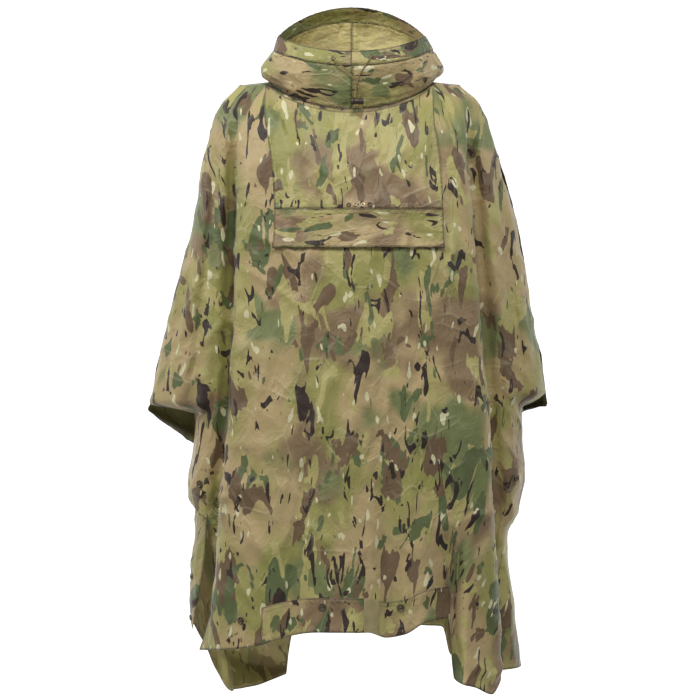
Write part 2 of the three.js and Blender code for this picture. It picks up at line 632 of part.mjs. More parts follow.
function addDrawcord() {
  addCord("cord_left", addHoodEyelet("hood_eyelet_left", HOOD_EYELET_PLACES.left), CORD_LEFT);
  addCord("cord_right", addHoodEyelet("hood_eyelet_right", HOOD_EYELET_PLACES.right), CORD_RIGHT);
  const { x, y, z, width } = CORD_LOCK;
  addTurned("cord_lock", lockProfile(CORD_LOCK), new THREE.Vector3(x - width / 2, y, z),
    new THREE.Vector3(1, 0, 0), PLASTIC);
  const from = new THREE.Vector3(...CORD_KNOT.from);
  const run = new THREE.Vector3(...CORD_KNOT.to).sub(from);
  addTurned("cord_knot", knotProfile(run.length(), CORD_KNOT.radius), from, run, CORD);
}

function surfaceOf(panel) {
  const points = panelRows(panel);
  return { panel, points, normals: gridNormals(points, panel.side, false) };
}

// Body and hood
const front = surfaceOf(FRONT);
const back = surfaceOf(BACK);
addPanel("front_panel", FRONT, front.points, front.normals);
addPanel("back_panel", BACK, back.points, back.normals);
addHood();

// What is sewn on the front
const firstMiddle = SIDE_COLUMNS + 1;
const lastMiddle = firstMiddle + FRONT.middleColumns;
const middle = [firstMiddle, lastMiddle];
const gapRows = SEAM / 2 / (CHEST.bottom - FRONT_LEVELS[FRONT_LEVELS.indexOf(CHEST.bottom) - 1]);
addPatch("chest_panel", front, [rowOf(FRONT, CHEST.top), rowOf(FRONT, CHEST.bottom) - gapRows], middle,
  SEAM, PATCH_WALL, CLOTH);
addPatch("pocket_flap", front, [rowOf(FRONT, FLAP.top) + gapRows, rowOf(FRONT, FLAP.bottom)], middle,
  FLAP.lift, FLAP.wall, CLOTH_DARK);
addPatch("hem_band", front, [rowOf(FRONT, HEM_BAND.top), rowOf(FRONT, HEM_BAND.bottom)],
  [firstMiddle - HEM_BAND.beyond, lastMiddle], SEAM, PATCH_WALL, CLOTH_DARK);
const hemRow = rowOf(FRONT, HEM_TAB.bottom);
addPatch("hem_tab", front, [rowOf(FRONT, HEM_TAB.top), hemRow],
  [columnOf(front.points, hemRow, HEM_TAB.left), columnOf(front.points, hemRow, HEM_TAB.right)],
  SEAM + PATCH_WALL + SEAM, HEM_TAB.wall, WEBBING);
addTrim(front, back);
addDrawcord();

export default garment;
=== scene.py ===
"""A hooded rain poncho in camouflage cloth, filled out as worn, on a pale floor."""
import math

import bpy
import numpy as np
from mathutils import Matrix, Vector


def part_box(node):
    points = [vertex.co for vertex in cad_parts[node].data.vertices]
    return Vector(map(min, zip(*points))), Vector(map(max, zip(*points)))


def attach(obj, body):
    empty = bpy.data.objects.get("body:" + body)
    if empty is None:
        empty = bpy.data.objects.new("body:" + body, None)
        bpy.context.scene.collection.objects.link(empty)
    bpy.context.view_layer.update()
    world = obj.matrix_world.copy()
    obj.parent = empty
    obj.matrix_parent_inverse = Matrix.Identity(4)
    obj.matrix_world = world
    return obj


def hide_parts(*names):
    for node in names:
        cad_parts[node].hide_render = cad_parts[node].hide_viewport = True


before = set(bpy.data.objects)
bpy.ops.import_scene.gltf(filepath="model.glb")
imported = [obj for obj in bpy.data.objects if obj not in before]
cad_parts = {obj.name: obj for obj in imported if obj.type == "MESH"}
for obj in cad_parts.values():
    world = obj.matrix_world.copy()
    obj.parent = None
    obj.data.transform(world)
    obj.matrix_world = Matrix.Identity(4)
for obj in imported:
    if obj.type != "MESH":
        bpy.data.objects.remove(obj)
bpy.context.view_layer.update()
MM = 0.001  # the tables are in millimetres, and Blender works in metres


class Table:
    """Smooth values between the rows of a short table, with no overshoot."""

    def __init__(self, columns, rows):
        self.names = columns.split()
        self.rows = np.array(rows, float)

    def __call__(self, column, at):
        x = self.rows[:, 0]
        y = self.rows[:, self.names.index(column)]
        slope = np.diff(y) / np.diff(x)
        product = slope[:-1] * slope[1:]
        total = np.where(product > 0, slope[:-1] + slope[1:], 1)
        inner = np.where(product > 0, 2 * product / total, 0)
        tangent = np.concatenate([slope[:1], inner, slope[-1:]])
        at = np.clip(at, x[0], x[-1])
        i = np.clip(np.searchsorted(x, at) - 1, 0, len(x) - 2)
        span = x[i + 1] - x[i]
        t = (at - x[i]) / span
        curve = span * t * (1 - t) * ((1 - t) * tangent[i] - t * tangent[i + 1])
        return y[i] + (y[i + 1] - y[i]) * t * t * (3 - 2 * t) + curve


# The form, as in the part's source
SEAM = 0.3
NECK = {"left": 166, "right": 162, "front": 88, "back": 90, "z_front": -57, "z_side": 6, "z_back": 16}
NECK_SWEEP = 1.5
SHOULDER_END = 219
SHOULDER_ROUND = 130
NECK_REACH = 260
SQUARENESS = 2.2
SIDE_START = 0.88
TUCK = 0.55
HEM_START = 850
FOLD_START = 70
FOLD_ENDS = 6
LIP_LEVEL, LIP_DROP, LIP_REACH, LIP_SHARPNESS = 614, 18, 30, 6
SLEEVE_END = 665
FRONT_LENGTH, BACK_LENGTH = 1070, 1100

ARMS = [
    # level, left, right, form_left, form_right, front, back
    (0, -224, 214, -224, 214, 90, 92),
    (12, -236, 228, -236, 228, 96, 97),
    (32, -256, 250, -256, 250, 104, 104),
    (56, -271, 264, -271, 264, 112, 112),
    (80, -280, 274, -279, 273, 120, 119),
    (120, -290, 286, -287, 283, 132, 128),
    (174, -300, 300, -294, 294, 144, 136),
    (230, -308, 316, -299, 305, 153, 141),
    (286, -318, 331, -302, 313, 159, 144),
    (342, -333, 339, -305, 319, 164, 147),
    (454, -362, 358, -308, 327, 174, 152),
    (566, -392, 380, -310, 332, 184, 158),
    (600, -399, 387, -310, 334, 187, 160),
]
COLUMNS = "level left right form_left form_right depth"
FRONT_ROWS = Table(COLUMNS, [(*row[:5], row[5]) for row in ARMS] + [
    (616, -402, 354, -310, 334, 188),
    (628, -384, 341, -310, 335, 189),
    (638, -342, 339, -311, 335, 190),
    (652, -314, 338, -311, 336, 191),
    (700, -312, 336, -313, 336, 194),
    (790, -324, 343, -318, 338, 200),
    (850, -320, 335, -319, 335, 204),
    (895, -314, 312, -319, 332, 206),
    (990, -320, 323, -321, 330, 210),
    (1070, -322, 336, -322, 334, 214),
])
BACK_ROWS = Table(COLUMNS, [(*row[:5], row[6]) for row in ARMS] + [
    (622, -402, 389, -310, 333, 162),
    (640, -403, 352, -310, 332, 164),
    (660, -394, 331, -310, 331, 165),
    (678, -374, 329, -310, 330, 166),
    (700, -338, 328, -310, 330, 167),
    (730, -314, 331, -311, 331, 168),
    (790, -316, 336, -313, 332, 171),
    (850, -315, 328, -315, 329, 174),
    (895, -316, 306, -317, 326, 176),
    (990, -323, 316, -320, 324, 180),
    (1100, -322, 328, -322, 328, 186),
])
FRONT_TURNS = Table("level left right", [
    (616, 0, 0), (628, 2, 0), (638, 2, 0), (652, 0, 0), (805, 0, 0),
    (840, 14, 0), (875, 30, 0), (990, 30, 0), (1070, 22, 0),
])
BACK_TURNS = Table("level left right", [
    (660, 0, 0), (678, 0, -8), (700, 0, -14), (730, 0, -18), (790, -16, -18),
    (850, -24, -14), (895, -26, -10), (990, -22, -10), (1100, -10, -6),
])
FRONT_HEM = Table("across drop", [
    (-300, 48), (-190, 30), (-127, 10), (-60, -1), (30, -1), (65, 10), (100, 4),
    (146, -20), (184, -23), (198, 97), (236, 111), (268, 127), (298, 87), (340, 88),
])
BACK_HEM = Table("across drop", [
    (-323, -30), (-312, 2), (-300, 28), (-280, 78), (-246, 130), (-134, 102), (-116, 4), (0, -4),
    (186, 2), (204, 60), (290, 50), (340, 30),
])
FOLD_COLUMNS = ("top", "bottom", "x_top", "x_bottom", "bow", "inner", "outer", "depth")
FRONT_FOLDS = [
    (10, 1090, -236, -296, 24, 13, 30, 66),
    (60, 660, -270, -322, 10, 16, 12, 30),
    (0, 1190, 224, 306, 2, 12, 28, 58),
    (30, 660, 262, 338, 10, 18, 12, 34),
    (860, 1250, 208, 186, 0, 34, 12, 34),
    (700, 1150, -80, -110, -8, 34, 30, 14),
    (620, 1150, 60, 64, 10, 30, 40, 12),
]
BACK_FOLDS = [
    (20, 1180, -232, -262, 10, 18, 30, 42),
    (20, 1180, 226, 270, -6, 18, 28, 42),
    (70, 640, -272, -340, 6, 20, 14, 22),
    (70, 640, 268, 336, 4, 18, 14, 22),
    (420, 1180, -120, -104, -14, 30, 40, 22),
    (520, 1180, 24, 10, 8, 34, 30, 16),
    (360, 1180, 130, 150, 10, 36, 30, 24),
]
FRONT_SEAMS = Table("level left right", [
    (0, -166, 162), (14, -172, 160), (80, -170, 161), (160, -157, 172), (257, -151, 176),
    (850, -150, 184), (1070, -150, 190),
])
HOOD_RINGS = Table("rise left right front back z_front z_side z_back", [
    (0, *NECK.values()),
    (0.07, 169, 165, 91, 95, -49, 13, 26),
    (0.18, 181, 175, 98, 108, -36, 20, 42),
    (0.42, 184, 178, 106, 128, -10, 34, 74),
    (0.72, 158, 160, 108, 138, 25, 68, 144),
    (1, 147, 145, 99, 122, 55, 98, 174),
])
CASING_START = 0.722
GATHER_COUNT, GATHER_DEPTH = 9, 3
CASING_WALL, CASING_PROUD = 2.4, 0.5

# Patches and trim
CHEST = {"top": 8, "bottom": 257}
FLAP = {"top": 257, "bottom": 333}
HEM_BAND = {"top": 1004, "bottom": 1070, "left": -174}
HEM_TAB = {"top": 1004, "bottom": 1070, "left": 22, "right": 50}
SNAP_RADIUS, SNAP_HEIGHT = 7.5, 3
STUD_RADIUS, STUD_HEIGHT = 6, 3.4
CHEST_EYELET = {"outer": 4.4, "inner": 2, "height": 1.2}
HOOD_EYELET = {"outer": 5, "inner": 2.4, "height": 1.6}
HOOD_EYELETS = {"left": (-37.2, 0.83), "right": (38.9, 0.87)}

# The drawcord's free runs, as in the part's source, from each eyelet to the lock
CORD_DIAMETER = 3
CORD_REACHES = (0.4, 3)
CORD_LEFT = [
    (-30.5, -110.4, 32), (-23.5, -111.2, 26.7), (-9.9, -111.8, 15), (1.9, -112.8, 1.4),
    (10.6, -113.8, -7.4), (14.6, -112.8, -18), (14.6, -111.2, -28), (14.2, -110, -38.2),
]
CORD_RIGHT = [
    (32, -110.8, 34), (24.5, -111.6, 23), (15.5, -111.2, 8.2), (10.4, -110.2, -7.4),
    (8, -110, -20), (6.6, -110, -30), (6.3, -110, -38.2),
]
LOCK = {"x": 10, "y": -110, "z": -45, "width": 25, "radius": 6.4}
KNOT_FROM, KNOT_TO = (13, -110, -51.8), (22.5, -110, -63.5)
KNOT_SIZE, KNOT_THICKNESS = 0.95, 2.5


def smooth(t):
    u = np.clip(t, 0, 1)
    return u * u * (3 - 2 * u)


def mix(a, b, t):
    return a + (b - a) * t


def bell(t):
    return np.exp(-t * t)


def lattice(ix, iy, seed):
    """A turn at each crossing of a grid, mixed from large odd numbers and the same on each run."""
    n = (ix * 374761393 + iy * 668265263 + seed * 974634777) & 0xFFFFFFFF
    n = ((n ^ (n >> 13)) * 1274126177) & 0xFFFFFFFF
    return ((n ^ (n >> 16)) & 0xFFFF) / 65535 * 2 * math.pi


def noise(x, y, seed):
    """Smooth noise from -1 to 1, with features about one unit across."""
    x, y = np.broadcast_arrays(x, y)
    ix, iy = np.floor(x).astype(np.int64), np.floor(y).astype(np.int64)
    fx, fy = x - ix, y - iy

    def corner(dx, dy):
        turn = lattice(ix + dx, iy + dy, seed)
        return np.cos(turn) * (fx - dx) + np.sin(turn) * (fy - dy)

    u = fx ** 3 * (fx * (fx * 6 - 15) + 10)
    v = fy ** 3 * (fy * (fy * 6 - 15) + 10)
    return 1.4 * mix(mix(corner(0, 0), corner(1, 0), u), mix(corner(0, 1), corner(1, 1), u), v)


def ridges(x, y, seed):
    """Sharp crests with soft hollows between them, from 0 to 1."""
    return (1 - np.abs(noise(x, y, seed))) ** 3


# The small relief of the cloth: long wrinkles, lips along deep folds, and creases
SIDE_LEAN, LEAN_START, LEAN_REACH = 0.16, 120, 160
BEND, BEND_WIDTH, BEND_LENGTH = 26, 170, 230
RIDGE_MEAN = 0.4
WRINKLES = [
    # height, width, length, lean with the level, swing with the x, bent
    (5.2, 74, 330, 0, 0, 1),
    (2.4, 31, 120, 0, 0, 1),
    (2.4, 70, 210, -0.8, 1, 0),
    (2.2, 84, 230, 0.9, -1, 0),
]
NECK_CLEAR, NECK_FADE = 4, 60
DEEP_FOLD, FOLD_LIP_ENDS = 40, 9
FOLD_LIP = {"height": 9, "inner": 30, "outer": 4}
FOLD_HOLLOW = {"depth": 12, "at": 14, "reach": 11}
CREASE_GAIN, CREASE_SHARPNESS, CREASE_TAPER, CREASE_END = 1.6, 1.5, 0.6, 0.04

# The print is laid out round the form, this far past its edges and evened out over these rows
UNROLL_PAST, UNROLL_STEPS, UNROLL_ROWS = 0.6, 401, 24


def fold_line(fold, level):
    """How far down a fold each level is, from 0 to 1, and the fold's x there."""
    t = (level - fold["top"]) / (fold["bottom"] - fold["top"])
    return t, mix(fold["x_top"], fold["x_bottom"], t) + fold["bow"] * 4 * t * (1 - t)


def fold_lip(fold, x, level):
    """The sharp lip on the inner side of a deep fold, and the hollow beside it."""
    t, line = fold_line(fold, level)
    off = (x - line) * np.sign(line) + fold["inner"]
    lip = np.exp(np.where(off < 0, off / FOLD_LIP["inner"], -off / FOLD_LIP["outer"]))
    hollow = bell((off - FOLD_HOLLOW["at"]) / FOLD_HOLLOW["reach"])
    ends = smooth(t * FOLD_LIP_ENDS) * smooth((1 - t) * FOLD_LIP_ENDS)
    return ends * (FOLD_LIP["height"] * lip - FOLD_HOLLOW["depth"] * hollow)


def crease_height(crease, x, level):
    """A ridge, or a groove if its height is negative, on a bowed line that fades at both ends."""
    x0, level0, x1, level1, bow, reach, height = crease
    run, fall = x1 - x0, level1 - level0
    length = math.hypot(run, fall)
    t = np.clip(((x - x0) * run + (level - level0) * fall) / length ** 2, 0, 1)
    off = ((x - x0) * fall - (level - level0) * run) / length - bow * 4 * t * (1 - t)
    ends = np.hypot(x - x0 - run * t, level - level0 - fall * t)
    near = np.where((t > 0) & (t < 1), np.abs(off), ends)
    taper = np.sin(math.pi * np.clip(t, CREASE_END, 1 - CREASE_END)) ** CREASE_TAPER
    return CREASE_GAIN * height * taper * np.exp(-(near / reach) ** CREASE_SHARPNESS)


class Panel:
    """The front or the back of the body, as a sheet of (angle, level)."""

    def __init__(self, side, rows, turns, folds, hem, length, creases, seed):
        self.side, self.rows, self.turns, self.hem = side, rows, turns, hem
        self.folds = [dict(zip(FOLD_COLUMNS, row)) for row in folds]
        self.length, self.creases, self.seed = length, creases, seed

    def section(self, level):
        left, right = self.rows("form_left", level), self.rows("form_right", level)
        middle, form = (left + right) / 2, (right - left) / 2
        edges = middle - self.rows("left", level), self.rows("right", level) - middle
        return middle, form, *edges, self.rows("depth", level)

    def fold_depth(self, x, level):
        total = np.zeros(np.broadcast(x, level).shape)
        for fold in self.folds:
            t, line = fold_line(fold, level)
            outwards = (x - line) * np.sign(line)
            reach = np.where(outwards > 0, fold["outer"], fold["inner"])
            fade = smooth(t * FOLD_ENDS) * smooth((1 - t) * FOLD_ENDS)
            total += fold["depth"] * fade * bell(outwards / reach)
        return total * smooth(level / FOLD_START)

    def point(self, angle, level):
        """The smooth form, without its creases."""
        middle, form, left, right, depth = self.section(level)
        power = 2 / SQUARENESS
        across = np.abs(np.cos(angle)) ** power
        side = -np.sign(np.cos(angle))
        edge = np.where(side < 0, left, right)
        beyond = np.maximum(0, across - SIDE_START) / (1 - SIDE_START)
        within = np.minimum(across, SIDE_START) * form
        x = middle + side * (within + beyond * (edge - SIDE_START * form))
        out = np.sin(angle)
        size = np.abs(out) ** power
        rounded = np.where(out < 0, -TUCK * size, size)
        reach = np.where(x < 0, NECK["left"], NECK["right"])
        turn = np.sqrt(np.maximum(0, 1 - (x / reach) ** 2))
        top_depth = (NECK["front"] if self.side < 0 else NECK["back"]) * turn
        outside = np.clip((np.abs(x) - reach) / (SHOULDER_END - reach), 0, 1)
        middle_z = NECK["z_front"] if self.side < 0 else NECK["z_back"]
        top_z = mix(NECK["z_side"], middle_z, turn ** NECK_SWEEP) * (1 - outside)
        turned = np.sqrt(1 - (1 - np.clip(level / SHOULDER_ROUND, 0, 1)) ** 2)
        fold = self.fold_depth(x, level) * np.maximum(0, out)
        y = mix(top_depth, depth * rounded, turned) - fold
        lip = LIP_DROP * bell((level - LIP_LEVEL) / LIP_REACH) * across ** LIP_SHARPNESS
        hang = smooth((level - HEM_START) / (self.length - HEM_START))
        drop = top_z * np.maximum(0, 1 - level / NECK_REACH) - lip - self.hem("drop", x) * hang
        return np.stack([x, self.side * (y + SEAM / 2), drop - level], -1)

    def angle_at(self, x, level):
        middle, form, left, right, _ = self.section(level)
        out = np.abs(x - middle)
        edge = np.where(x < middle, left, right)
        side = SIDE_START * form
        outer = SIDE_START + (1 - SIDE_START) * np.minimum(1, (out - side) / (edge - side))
        across = np.where(out <= side, out / form, outer)
        cosine = across ** (SQUARENESS / 2)
        return np.arccos(np.where(x < middle, cosine, -cosine))

    def relief(self, x, level):
        """How far creases and wrinkles stand out of the form."""
        towards_side = smooth((np.abs(x) - LEAN_START) / LEAN_REACH)
        run = x - level * SIDE_LEAN * np.sign(x) * towards_side
        bend = BEND * noise(x / BEND_WIDTH, level / BEND_LENGTH, self.seed)
        height = np.zeros(np.broadcast(x, level).shape)
        for number, (size, width, length, lean, swing, bent) in enumerate(WRINKLES, 1):
            across = (run + bent * bend + lean * level) / width
            down = (level + swing * run) / length
            height += size * (ridges(across, down, self.seed + number) - RIDGE_MEAN)
        height *= smooth((level - NECK_CLEAR) / NECK_FADE)
        for fold in self.folds:
            if fold["depth"] >= DEEP_FOLD:
                height += fold_lip(fold, x, level)
        for crease in self.creases:
            height += crease_height(crease, x, level)
        return height

    def cloth(self, angle, level, lift=0.0):
        """Points of the creased cloth on a grid, and its outward normals."""
        points = self.point(angle, level)
        normals = grid_normals(points) * self.side
        points = points + normals * self.relief(points[..., 0], level)[..., None]
        normals = grid_normals(points) * self.side
        return points + normals * np.broadcast_to(lift, level.shape)[..., None], normals

    def unroll(self, angle, level):
        """How far round the cloth each point lies from the centre line."""
        angles = np.linspace(-UNROLL_PAST, math.pi + UNROLL_PAST, UNROLL_STEPS)
        rows = np.ones((len(level), 1))
        points = self.point(angles * rows, level[:, :1] * np.ones(UNROLL_STEPS))
        run = arc_lengths(points, 1, UNROLL_STEPS // 2)
        padded = np.concatenate([run[:1]] * UNROLL_ROWS + [run] + [run[-1:]] * UNROLL_ROWS)
        total = np.cumsum(np.concatenate([padded[:1] * 0, padded]), 0)
        window = 2 * UNROLL_ROWS + 1
        run = (total[window:] - total[:-window]) / window
        return np.stack([np.interp(row, angles, along) for row, along in zip(angle, run)])

    def grid(self, rows, columns):
        level = np.linspace(0, self.length, rows)[:, None] * np.ones(columns)
        start = np.radians(self.turns("left", level[:, :1]))
        end = math.pi - np.radians(self.turns("right", level[:, :1]))
        return mix(start, end, np.linspace(0, 1, columns)), level


def grid_normals(points, ring=False):
    """Unit normals of a grid, outwards on the back and on the hood."""
    if ring:
        across = np.roll(points, -1, 1) - np.roll(points, 1, 1)
    else:
        across = np.gradient(points, axis=1)
    cross = np.cross(across, np.gradient(points, axis=0))
    return cross / np.maximum(np.linalg.norm(cross, axis=-1, keepdims=True), 1e-9)


FRONT_CREASES = [
    # from x, level, to x, level, bow, reach, height
    (-212, 300, -104, 352, 6, 7, 3.2),
    (-206, 318, -206, 372, -5, 8, 3.0),
    (-206, 372, -84, 462, 4, 7, 3.2),
    (-262, 818, -226, 812, 0, 7, 3.4),
    (214, 858, 292, 842, 2, 6, 3.8),
    (206, 864, 206, 1012, 0, 6, 5.0),
    (196, 292, 176, 430, 5, 9, 3.4),
    (-150, 30, -120, 120, 6, 8, -3.0),
    (-140, 70, -30, 190, -8, 9, 2.6),
    (120, 60, 60, 200, 6, 9, 2.4),
    (168, 60, 206, 210, 10, 9, 3.2),
    (190, 70, 240, 260, 6, 8, -3.4),
    (-190, 60, -214, 240, -8, 8, -3.2),
    (-180, 200, -210, 420, -6, 9, 3.0),
    (-60, 380, 40, 520, 10, 11, 2.4),
    (60, 350, 150, 500, -8, 10, 2.6),
    (-30, 560, -80, 760, -8, 11, 3.0),
    (90, 560, 130, 780, 6, 11, 3.0),
    (-150, 520, -190, 700, -6, 10, 2.8),
    (170, 620, 226, 840, 8, 10, 3.4),
    (-200, 860, -150, 960, 4, 8, 2.6),
    (-90, 860, -20, 930, 6, 9, 2.4),
    (40, 850, 130, 930, -6, 9, 2.6),
    (-290, 560, -330, 600, 2, 7, 3.4),
    (-300, 330, -352, 560, 6, 9, 3.6),
    (310, 330, 352, 560, -4, 9, 3.6),
    (300, 540, 350, 590, 2, 7, 3.0),
    (-270, 700, -250, 860, 4, 8, 3.2),
    (270, 700, 256, 830, -4, 8, 3.0),
    (230, 930, 286, 1010, 4, 9, 3.2),
    (-250, 930, -190, 1000, 4, 8, 2.8),
    (222, 1036, 300, 1050, 3, 9, 7.0),
    (206, 1010, 214, 1066, 0, 7, -4.0),
]
BACK_CREASES = [
    # from x, level, to x, level, bow, reach, height
    (-120, 60, -60, 220, -8, 9, 2.8),
    (130, 50, 80, 240, 8, 9, 2.8),
    (-200, 90, -226, 320, -6, 9, -3.4),
    (200, 100, 232, 330, 6, 9, -3.4),
    (-40, 200, 60, 420, 10, 12, 2.6),
    (-160, 400, -90, 640, 8, 11, 3.2),
    (60, 420, 170, 620, -10, 11, 3.0),
    (-300, 330, -352, 560, 6, 9, 3.4),
    (296, 330, 340, 560, -4, 9, 3.4),
    (-60, 640, -20, 860, 6, 11, 3.0),
    (100, 660, 60, 900, -8, 11, 3.0),
    (-220, 700, -180, 900, 6, 10, 3.2),
    (210, 700, 240, 900, 6, 10, 3.2),
    (-180, 900, -240, 1040, 6, 9, 3.4),
    (20, 900, 90, 1010, 6, 10, 2.6),
    (-128, 1090, -262, 1030, 5, 17, 22.0),
    (-218, 1050, -226, 1100, 2, 8, -4.0),
    (-190, 1056, -196, 1100, 2, 7, -3.0),
]
FRONT = Panel(-1, FRONT_ROWS, FRONT_TURNS, FRONT_FOLDS, FRONT_HEM, FRONT_LENGTH, FRONT_CREASES, seed=3)
BACK = Panel(1, BACK_ROWS, BACK_TURNS, BACK_FOLDS, BACK_HEM, BACK_LENGTH, BACK_CREASES, seed=40)


# Meshes
TURNED_SIDES = 48


def link(name, mesh, *materials):
    piece = bpy.data.objects.new(name, mesh)
    bpy.context.scene.collection.objects.link(piece)
    for material in materials:
        mesh.materials.append(material)
    return piece


def arc_lengths(points, axis, middle=0):
    steps = np.linalg.norm(np.diff(points, axis=axis), axis=-1)
    run = np.concatenate([np.zeros_like(np.take(steps, [0], axis)), np.cumsum(steps, axis)], axis)
    return run - np.take(run, [middle], axis)


def shell(name, outer, inner, uv, edge, materials, ring=False):
    """A closed sheet of cloth between two grids: outer faces, inner faces and rims."""
    rows, columns = outer.shape[:2]
    count = rows * columns
    index = np.arange(count).reshape(rows, columns)
    if ring:
        index = np.concatenate([index, index[:, :1]], 1)
    a, b, c, d = index[:-1, :-1], index[:-1, 1:], index[1:, 1:], index[1:, :-1]
    face = np.stack([a, b, c, d], -1).reshape(-1, 4)
    back = face[:, ::-1] + count
    top, bottom = index[0], index[-1]
    rims = [np.stack([top[1:], top[:-1], top[:-1] + count, top[1:] + count], -1)]
    rims.append(np.stack([bottom[:-1], bottom[1:], bottom[1:] + count, bottom[:-1] + count], -1))
    if not ring:
        left, right = index[:, 0], index[:, -1]
        rims.append(np.stack([left[:-1], left[1:], left[1:] + count, left[:-1] + count], -1))
        rims.append(np.stack([right[1:], right[:-1], right[:-1] + count, right[1:] + count], -1))
    rims = np.concatenate(rims)
    faces = np.concatenate([face, back, rims])
    vertices = np.concatenate([outer.reshape(-1, 3), inner.reshape(-1, 3)]) * MM
    corner = vertices[face]
    volume = np.einsum("ij,ij->", (outer - inner).reshape(-1, 3)[face[:, 0]],
                       np.cross(corner[:, 1] - corner[:, 0], corner[:, 3] - corner[:, 0]))
    if volume < 0:
        faces = faces[:, ::-1]
    mesh = bpy.data.meshes.new(name)
    mesh.from_pydata(vertices.tolist(), [], faces.tolist())
    slots = np.zeros(len(faces), np.int32)
    slots[len(face):len(face) * 2] = min(1, len(materials) - 1)
    mesh.polygons.foreach_set("material_index", slots)
    mesh.polygons.foreach_set("use_smooth", np.ones(len(faces), bool))
    doubled = np.concatenate([uv.reshape(-1, 2)] * 2) * MM
    layer = mesh.uv_layers.new(name="cloth")
    loops = np.zeros(len(mesh.loops), np.int32)
    mesh.loops.foreach_get("vertex_index", loops)
    layer.data.foreach_set("uv", doubled[loops].ravel())
    rim = mesh.attributes.new("edge", "FLOAT", "POINT")
    rim.data.foreach_set("value", np.concatenate([edge.ravel()] * 2) * MM)
    mesh.update()
    return link(name, mesh, *materials)


def turned(name, profile, place, direction, material):
    """A piece turned round an axis, from (radius, height) pairs in millimetres."""
    turns = np.linspace(0, 2 * math.pi, TURNED_SIDES, endpoint=False)
    radius, height = np.array(profile, float).T
    points = np.stack([np.cos(turns)[:, None] * radius, np.sin(turns)[:, None] * radius,
                       np.ones(TURNED_SIDES)[:, None] * height], -1)
    rows = len(profile)
    index = np.arange(TURNED_SIDES * rows).reshape(TURNED_SIDES, rows)
    following = np.roll(index, -1, 0)
    quads = np.stack([index[:, :-1], following[:, :-1], following[:, 1:], index[:, 1:]], -1)
    mesh = bpy.data.meshes.new(name)
    mesh.from_pydata((points.reshape(-1, 3) * MM).tolist(), [], quads.reshape(-1, 4).tolist())
    mesh.validate()
    turn = Vector(direction).to_track_quat("Z", "Y").to_matrix().to_4x4()
    turn.translation = Vector(place) * MM
    mesh.transform(turn)
    for polygon in mesh.polygons:
        polygon.use_smooth = True
    return link(name, mesh, material)


def keep(piece, node):
    """The piece stands for its node, on the part's one body."""
    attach(piece, "root")
    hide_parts(node)


# Materials
def linear(hex_colour):
    parts = [int(hex_colour[i:i + 2], 16) / 255 for i in (0, 2, 4)]
    return [(c / 12.92 if c < 0.04045 else ((c + 0.055) / 1.055) ** 2.4) for c in parts] + [1]


SHADER_INPUTS = {
    "base": "Base Color", "metallic": "Metallic", "roughness": "Roughness", "normal": "Normal",
    "sheen": "Sheen Weight", "sheen_roughness": "Sheen Roughness", "specular": "Specular IOR Level",
}


class Nodes:
    """A material's node tree, with a short way to add and join nodes."""

    def __init__(self, name):
        self.material = bpy.data.materials.new(name)
        self.material.use_nodes = True
        self.tree = self.material.node_tree
        self.tree.nodes.clear()
        self.surface = self.tree.nodes.new("ShaderNodeBsdfPrincipled")
        output = self.tree.nodes.new("ShaderNodeOutputMaterial")
        self.tree.links.new(self.surface.outputs[0], output.inputs[0])

    def put(self, socket, value):
        if isinstance(value, bpy.types.NodeSocket):
            self.tree.links.new(value, socket)
        else:
            socket.default_value = value

    def add(self, kind, inputs, output=0, **settings):
        node = self.tree.nodes.new("ShaderNode" + kind)
        for key, value in settings.items():
            setattr(node, key, value)
        for key, value in inputs.items():
            self.put(node.inputs[key], value)
        return node.outputs[output]

    def maths(self, operation, a, b=0.0, c=0.0):
        return self.add("Math", {0: a, 1: b, 2: c}, operation=operation)

    def times(self, a, b):
        return self.maths("MULTIPLY", a, b)

    def wave(self, value, pitch):
        """A sine that repeats each pitch, in millimetres, as its value grows in metres."""
        return self.maths("SINE", self.times(value, 2 * math.pi / (pitch * MM)))

    def split(self, vector):
        node = self.tree.nodes.new("ShaderNodeSeparateXYZ")
        self.tree.links.new(vector, node.inputs[0])
        return tuple(node.outputs)

    def blend(self, factor, a, b):
        return self.add("Mix", {0: factor, 6: a, 7: b}, output=2, data_type="RGBA")

    def step(self, value, low, high):
        """0 below low, 1 above high and smooth between."""
        return self.add("MapRange", {0: value, 1: low, 2: high, 3: 0.0, 4: 1.0},
                        interpolation_type="SMOOTHSTEP")

    def drop(self, value, low, high):
        """1 below low, 0 above high and smooth between."""
        return self.maths("SUBTRACT", 1.0, self.step(value, low, high))

    def scaled(self, vector, size, shift=(0, 0, 0)):
        return self.add("Mapping", {"Vector": vector, "Scale": size, "Location": shift})

    def noise(self, vector, detail=2.0, roughness=0.5, distortion=0.0):
        inputs = {"Vector": vector, "Scale": 1.0, "Detail": detail,
                  "Roughness": roughness, "Distortion": distortion}
        return self.add("TexNoise", inputs)

    def bump(self, height, distance, strength=1.0, normal=None):
        inputs = {"Height": height, "Distance": distance, "Strength": strength}
        if normal is not None:
            inputs["Normal"] = normal
        return self.add("Bump", inputs)

    def finish(self, **inputs):
        for key, value in inputs.items():
            self.put(self.surface.inputs[SHADER_INPUTS[key]], value)
        return self.material


